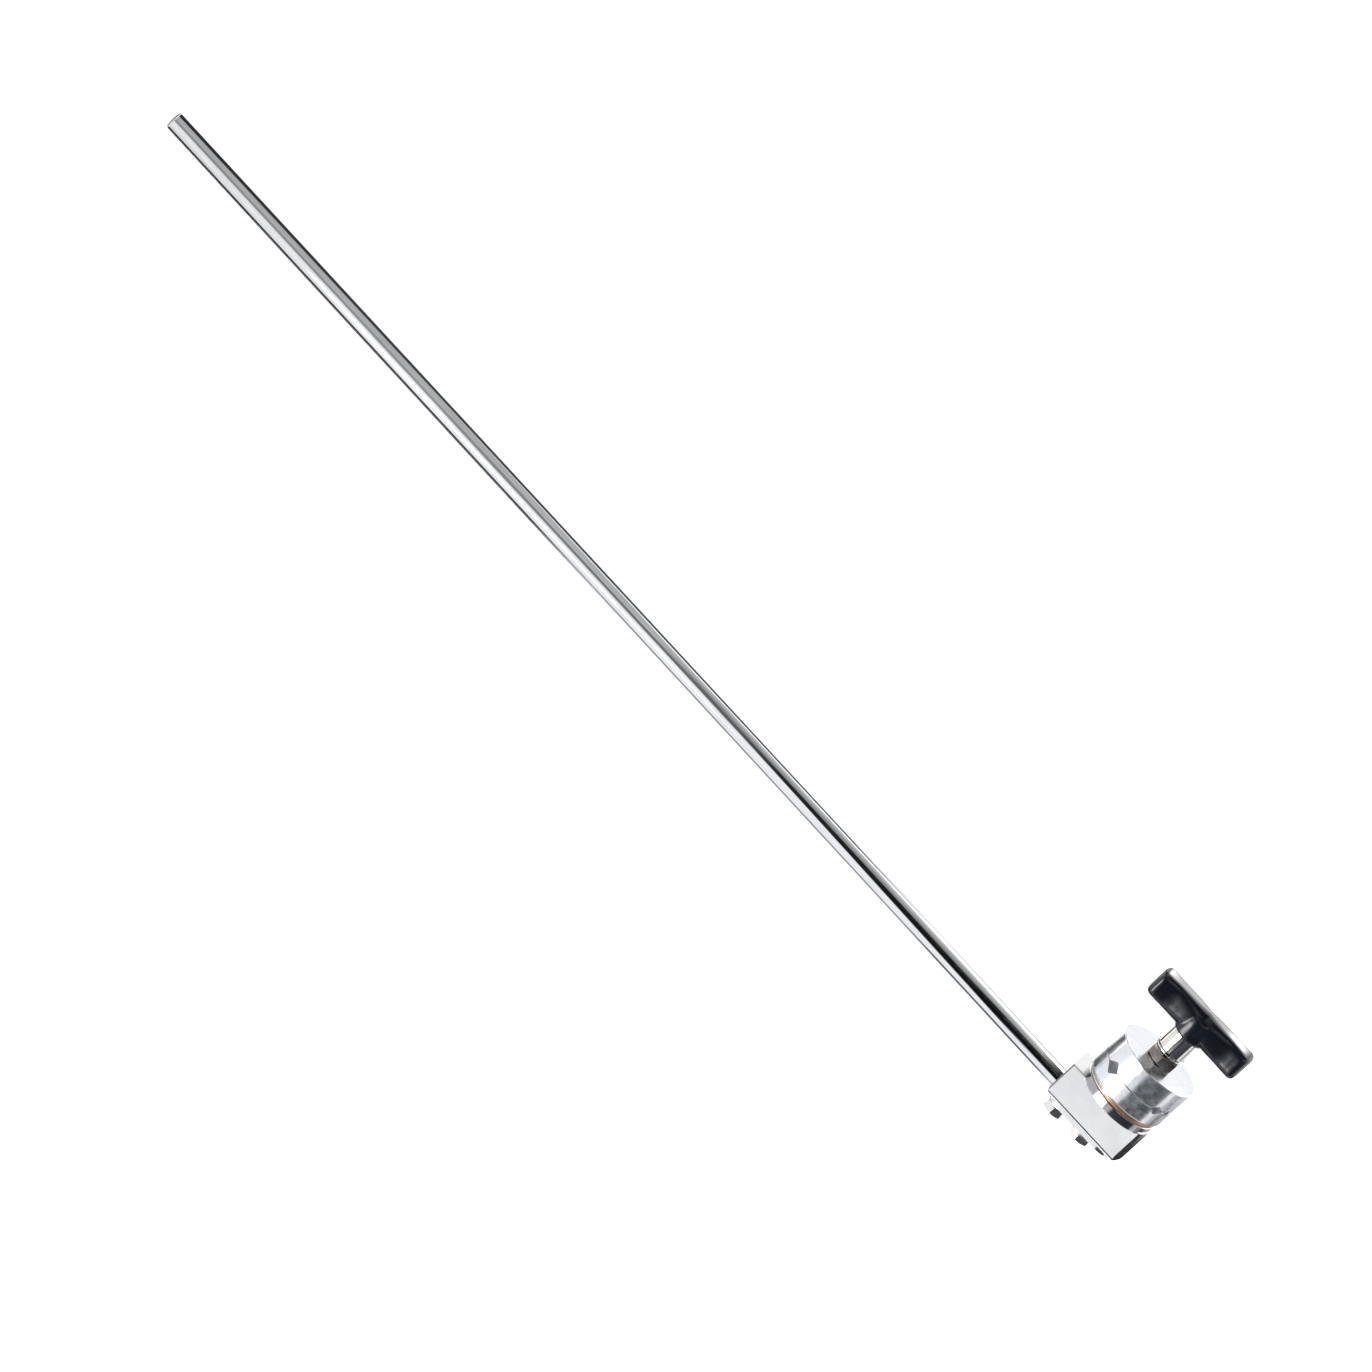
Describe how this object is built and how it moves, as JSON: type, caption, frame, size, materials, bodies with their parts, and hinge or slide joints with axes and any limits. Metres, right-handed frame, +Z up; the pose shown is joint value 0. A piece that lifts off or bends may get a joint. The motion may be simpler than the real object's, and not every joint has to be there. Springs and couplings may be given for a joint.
{
  "type": "grip arm",
  "caption": "Long round chromed extension rod with a swivelling grip head on its end: grooved clamp jaws on a spindle, tightened by a black T-handle.",
  "frame": {"origin": "centre of the rod's free tip, on the rod's axis, where a stand's clamp takes the rod", "axes": "+X along the rod from its free tip to the head, +Y out along the head's spindle to the T-handle, +Z up"},
  "size_m": [1.0298, 0.1419, 0.067],
  "materials": {
    "rod_chrome": "bright chrome plating on a drawn tube",
    "block_chrome": "bright chrome plating on a cast block",
    "jaw_chrome": "chrome plating over turned faces, faintly ringed",
    "hub_chrome": "bright chrome, slightly warm",
    "fastener_steel": "zinc-plated steel",
    "friction_copper": "dull copper alloy with fine rings",
    "handle_black": "satin black moulded plastic with a fine grain"
  },
  "bodies": {
    "arm": {"arm_rod": "rod_chrome", "rod_end_plug": "fastener_steel", "head_block": "block_chrome", "rod_bolt": "fastener_steel", "rod_bolt_washer": "fastener_steel", "spindle": "fastener_steel", "spindle_nut": "fastener_steel", "spindle_washer": "fastener_steel", "spindle_stop_ring": "fastener_steel", "friction_washer_back": "friction_copper", "friction_plate": "fastener_steel"},
    "inner_jaw_set": {"friction_washer_front": "friction_copper", "inner_jaw": "jaw_chrome", "jaw_dowel_front": "fastener_steel", "jaw_dowel_rear": "fastener_steel", "jaw_spring": "fastener_steel"},
    "outer_jaw_set": {"outer_jaw": "jaw_chrome", "bearing_race_lower": "fastener_steel", "bearing_rollers": "fastener_steel", "bearing_collar": "hub_chrome"},
    "handle": {"bearing_race_upper": "fastener_steel", "handle_hub": "hub_chrome", "t_handle": "handle_black"}
  },
  "joints": [
    {"name": "jaw_swivel", "type": "hinge", "parent": "arm", "child": "inner_jaw_set", "pos_m": [0.9829, 0.03, 0], "axis": [0, 1, 0], "continuous": true},
    {"name": "jaw_opening", "type": "slide", "parent": "inner_jaw_set", "child": "outer_jaw_set", "axis": [0, 1, 0], "range_m": [0, 0.01225], "deforming": ["jaw_spring"]},
    {"name": "handle_turn", "type": "hinge", "parent": "outer_jaw_set", "child": "handle", "pos_m": [0.9829, 0.08, 0], "axis": [0, 1, 0], "range_deg": [0, 2520]}
  ],
  "couplings": [
    {"joint": "handle_turn", "follows": "jaw_opening", "rad_per_m": 3590.4}
  ]
}
